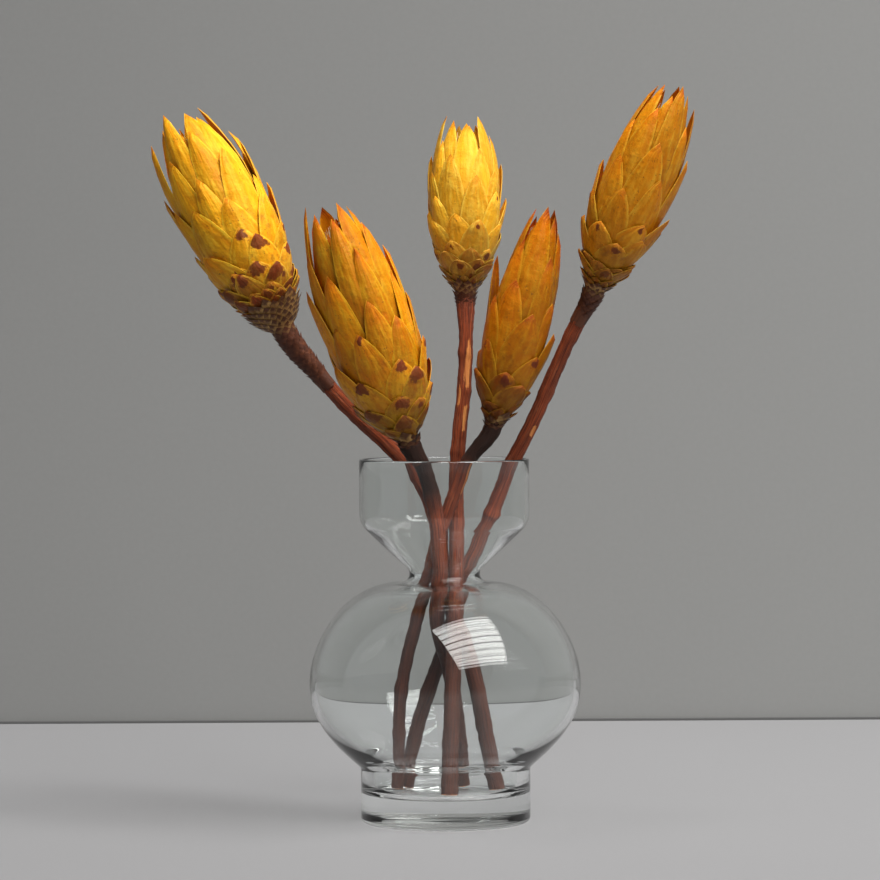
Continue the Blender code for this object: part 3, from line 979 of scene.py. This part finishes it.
# ---------------------------------------------------------------- florets
def make_florets(flower, spine):
    """A bundle of fine tapering hairs standing in the middle of the head."""
    chance = random.Random(flower["seed"] + 1)
    nothing_selected()
    bpy.ops.mesh.primitive_cone_add(
        vertices=5, radius1=1, radius2=0.25, depth=1, end_fill_type="NGON", location=(0, 0, 0.5)
    )
    hair = bpy.context.object
    bpy.ops.object.transform_apply(location=True)
    bpy.ops.object.mode_set(mode="EDIT")
    bpy.ops.mesh.select_all(action="SELECT")
    for height in (0.25, 0.5, 0.75):
        bpy.ops.mesh.bisect(plane_co=(0, 0, height), plane_no=(0, 0, 1))
        bpy.ops.mesh.select_all(action="SELECT")
    bpy.ops.object.mode_set(mode="OBJECT")
    hairs = []
    for _ in range(HAIRS_IN_HEAD):
        copy = hair.copy()
        copy.data = hair.data.copy()
        bpy.context.scene.collection.objects.link(copy)
        places = points_of(copy.data)
        angle = chance.uniform(0, 2 * math.pi)
        spread = chance.random() ** 0.5
        foot, top = CORE_REACH, chance.uniform(0.80, 0.90)
        share = foot + (top - foot) * places[:, 2]
        inner = np.maximum(spine.outline(share) * 0.5, 2.0)
        across = inner * spread * math.cos(angle) + places[:, 0] * HAIR_RADIUS
        away = inner * spread * math.sin(angle) + places[:, 1] * HAIR_RADIUS
        sway = chance.uniform(-1.2, 1.2) * places[:, 2] ** 2
        radius = np.hypot(across + sway, away)
        set_points(copy.data, spine.lay(share, radius, np.arctan2(away, across + sway)))
        hairs.append(copy)
    bpy.data.objects.remove(hair)
    piece = joined(flower["name"] + "_floret_hairs", hairs)
    smooth(piece)
    settle(piece, floret_material(), "floret_down", flower["name"] + "_florets")


# ---------------------------------------------------------------- stems
# Bare wood: distance below the head's base in mm, angle in degrees with -90 towards the front,
# half length in mm and half width in degrees
BARE_WOOD = {
    "centre": ((36, -66, 11, 24), (60, -58, 7, 15), (50, -125, 5, 14)),
    "far_left": (),
    "left": (),
    "right": ((30, -30, 7, 18),),
    "far_right": ((70, -60, 3, 20),),
}
# Nodes and leaf scars: distance below the head's base and swelling, in mm
KNUCKLES = {
    "centre": ((30, 0.5), (47, 0.35), (75, 0.4), (108, 0.5), (160, 0.5), (205, 0.4)),
    "far_left": ((45, 0.4), (80, 0.5), (120, 0.5), (165, 0.5), (205, 0.5)),
    "left": ((30, 0.5), (70, 0.4), (115, 0.5), (150, 0.4)),
    "right": ((22, 0.5), (55, 0.4), (95, 0.5), (130, 0.6), (150, 0.4)),
    "far_right": ((24, 0.4), (52, 0.35), (88, 0.4), (112, 1.1), (150, 0.5), (200, 0.4)),
}
# How far each neck is dark below the head's base, in mm
DARK_NECK = {"centre": 0, "far_left": 30, "left": 40, "right": 34, "far_right": 0}


def make_stem(flower, spine):
    """The stem's tube, roughened with ridges, nodes and leaf scars, and torn to bare wood in places."""
    name = flower["name"]
    stem = spine.stem_curve
    activate(stem)
    bpy.ops.object.convert(target="MESH")
    stem = bpy.context.object
    stem.name = stem.data.name = name + "_woody_stem"
    mesh = stem.data
    places = points_of(mesh) / MM
    line = spine.line
    share = spine.share
    nearest = np.empty(len(places), int)
    for start in range(0, len(places), 2000):
        block = places[start : start + 2000]
        gaps = ((block[:, None, :] - line[None, :, :]) ** 2).sum(2)
        nearest[start : start + 2000] = gaps.argmin(1)
    beside = places - line[nearest]
    below = -share[nearest] * spine.length
    _, right, away = spine.frame_at(share[nearest])
    angle = np.arctan2((beside * away).sum(1), (beside * right).sum(1))
    distance = np.linalg.norm(beside, axis=1)
    inner = distance > 0.5
    out = beside / np.maximum(distance, 0.01)[:, None]

    seed = flower["seed"]
    relief = np.empty(len(places))
    for i, (turn, run) in enumerate(zip(angle, below)):
        ridge = noise.noise((math.cos(turn) * 2.2, math.sin(turn) * 2.2, run * 0.10 + seed))
        knob = noise.noise((math.cos(turn) * 1.3, math.sin(turn) * 1.3, run * 0.42 + seed * 3))
        grit = noise.noise((math.cos(turn) * 5.0, math.sin(turn) * 5.0, run * 1.3))
        relief[i] = 0.20 * ridge + 0.26 * knob + 0.12 * grit
    for at, swell in KNUCKLES[name]:
        side = 0.65 + 0.35 * np.cos(angle - at * 2.4)
        relief += swell * np.exp(-(((below - at) / 2.6) ** 2)) * side
        relief -= 0.18 * np.exp(-(((below - at - 4.5) / 1.6) ** 2))
    bare = np.zeros(len(places))
    for at, degrees, half_length, half_width in BARE_WOOD[name]:
        off = (angle - math.radians(degrees) + math.pi) % (2 * math.pi) - math.pi
        patch = np.hypot((below - at) / half_length, off / math.radians(half_width))
        bare = np.maximum(bare, np.clip(1.55 - patch, 0, 1))
    relief -= 0.35 * np.clip(bare * 2 - 1, 0, 1)
    places += out * (relief * inner * np.clip((below + 1) / 6, 0, 1))[:, None]
    set_points(mesh, places * MM)

    write_marks(mesh, "along", below * MM)
    write_marks(mesh, "around_x", np.cos(angle))
    write_marks(mesh, "around_y", np.sin(angle))
    cut = np.clip((below - below.max() + 0.6) / 0.4, 0, 1) * 0.6
    write_marks(mesh, "bare", np.maximum(bare, cut))
    neck = DARK_NECK[name]
    # Darker below the head: over the given neck length, else over the last 10 mm under the head.
    dark_below_head = np.clip((neck - below) / 14, 0, 1) if neck else np.clip((10 - below) / 7, 0, 1) * 0.7
    # Painted shade: the stem darker low down, inside the vase.
    painted_vase_shade = np.clip((below - below.max() + 130) / 60, 0, 1) * 0.85
    write_marks(mesh, "dark", np.maximum(dark_below_head, painted_vase_shade))
    smooth(stem, 60)
    settle(stem, bark_material(flower), "bark", name + "_stem")


# ---------------------------------------------------------------- the set
TABLE_BACK = 0.446
HALF_ROOM = 4.0
HALF_TABLE = 1.5
TABLE_FRONT = -0.9


def make_set():
    """A plain pale table with a plain grey wall behind it, both with painted light across them, and a
    painted shadow strip at the table's back edge; the wall shows from the front only.
    """
    nothing_selected()
    bpy.ops.mesh.primitive_plane_add(size=1)
    table = bpy.context.object
    table.name = "table"
    places = points_of(table.data)
    places[:, 0] *= 2 * HALF_TABLE
    places[:, 1] = np.where(places[:, 1] > 0, TABLE_BACK, TABLE_FRONT)
    places[:, 2] = -0.2 * MM
    set_points(table.data, places)
    # Painted light: the table lighter towards the back and the right.
    paint = plain_material("table_top", (0.212, 0.211, 0.216), 0.75, 0.03, (0.1, 0.2, 0))
    table.data.materials.append(paint)

    bpy.ops.mesh.primitive_plane_add(size=1)
    wall = bpy.context.object
    wall.name = "wall"
    flat = points_of(wall.data)
    up = np.where(flat[:, 1] > 0, HALF_ROOM, -0.02)
    wall_places = np.stack([flat[:, 0] * 2 * HALF_ROOM, np.full(4, TABLE_BACK + 0.004), up], 1)
    set_points(wall.data, wall_places)
    # Painted light and shade: the wall lighter towards the right and darker upwards.
    material = plain_material("wall_paint", (0.222, 0.223, 0.219), 0.95, 0.05, (0.25, 0, -0.42))
    # Painted shadow: a thin dark strip in the gap between the table's back edge and the wall.
    bpy.ops.mesh.primitive_cube_add(size=1, location=(0, TABLE_BACK + 0.001, -0.004))
    gap = bpy.context.object
    gap.name = "painted_shadow_strip"
    gap.scale = (2 * HALF_ROOM, 0.004, 0.0098)
    gap.data.materials.append(plain_material("gap", (0.09, 0.09, 0.09), 0.9, 0.1))
    tree = material.node_tree
    output = tree.nodes["Material Output"]
    sides = tree.nodes.new("ShaderNodeNewGeometry")
    clear = tree.nodes.new("ShaderNodeBsdfTransparent")
    choose = tree.nodes.new("ShaderNodeMixShader")
    tree.links.new(sides.outputs["Backfacing"], choose.inputs[0])
    tree.links.new(tree.nodes["Principled BSDF"].outputs[0], choose.inputs[1])
    tree.links.new(clear.outputs[0], choose.inputs[2])
    tree.links.new(choose.outputs[0], output.inputs["Surface"])
    wall.data.materials.append(material)


def make_lights():
    world = bpy.data.worlds.new("soft_room")
    bpy.context.scene.world = world
    world.use_nodes = True
    tree = world.node_tree
    place = tree.nodes.new("ShaderNodeTexCoord")
    apart = tree.nodes.new("ShaderNodeSeparateXYZ")
    dim = tree.nodes.new("ShaderNodeMapRange")
    dim.interpolation_type = "SMOOTHSTEP"
    for key, value in (("From Min", -0.95), ("From Max", -0.35), ("To Min", 0.14), ("To Max", 0.30)):
        dim.inputs[key].default_value = value
    tree.links.new(place.outputs["Generated"], apart.inputs[0])
    tree.links.new(apart.outputs["Y"], dim.inputs["Value"])
    tree.links.new(dim.outputs[0], tree.nodes["Background"].inputs["Strength"])
    tree.nodes["Background"].inputs["Color"].default_value = (0.94, 0.96, 1.0, 1)

    def area(name, place, target, size, power, colour):
        light = bpy.data.lights.new(name, "AREA")
        light.shape = "RECTANGLE"
        light.size, light.size_y = size
        light.energy = power
        light.color = colour
        thing = bpy.data.objects.new(name, light)
        bpy.context.scene.collection.objects.link(thing)
        thing.location = place
        aim = Vector(target) - Vector(place)
        thing.rotation_euler = aim.to_track_quat("-Z", "Y").to_euler()
        return thing

    dull = plain_material("slat", (0.25, 0.24, 0.23), 0.8, 0.1)
    window = area("window", (1.26, -1.76, 2.76), (0, 0, 0.12), (2.9, 3.1), 190, (1.0, 0.985, 0.96))
    for place in np.linspace(-1.35, 1.35, 8):
        bpy.ops.mesh.primitive_cube_add(size=1)
        slat = bpy.context.object
        slat.name = "window_slat"
        slat.scale = (3.1, 0.07, 0.02)
        slat.rotation_euler = window.rotation_euler
        turn = window.rotation_euler.to_matrix()
        slat.location = window.location + turn @ Vector((0, place, -0.05))
        slat.data.materials.append(dull)
    ceiling = area("ceiling", (0.35, -0.25, 1.9), (0, 0.0, 0.25), (0.8, 0.8), 42, (1.0, 0.99, 0.97))
    ceiling.visible_glossy = False
    ceiling.visible_transmission = False


IMAGE_SIDE = 880
LENS_REACH = 3800  # the focal length, in the image's own units
AIM_BELOW = 95  # how far below level the middle of the image lies, in the same units


def make_camera():
    """A little above the rim, with a long lens, turned down slightly and rolled a hair."""
    camera = bpy.data.cameras.new("camera")
    camera.sensor_width = 36.0
    camera.lens = LENS_REACH * camera.sensor_width / IMAGE_SIDE
    camera.clip_start, camera.clip_end = 0.05, 30
    thing = bpy.data.objects.new("camera", camera)
    bpy.context.scene.collection.objects.link(thing)
    thing.location = (-0.0015, -1.672, 0.2101)
    pitch = math.atan(AIM_BELOW / LENS_REACH)
    thing.rotation_euler = (math.pi / 2 - pitch, math.radians(0.3), 0)
    bpy.context.scene.camera = thing


def main():
    make_camera()
    make_set()
    make_lights()
    make_vase()
    bract_blank = flat_leaf(4, 8, bract_width, 1.35)
    scale_blank = flat_leaf(4, 4, scale_width, 1.3)
    for flower in FLOWERS:
        spine = Spine(flower)
        make_stem(flower, spine)
        make_core(flower, spine)
        make_leaves(flower, spine, bract_blank, scale_blank)
        make_florets(flower, spine)
    for blank in (bract_blank, scale_blank):
        bpy.data.objects.remove(blank)


main()
bpy.context.scene.view_settings.view_transform = "Standard"
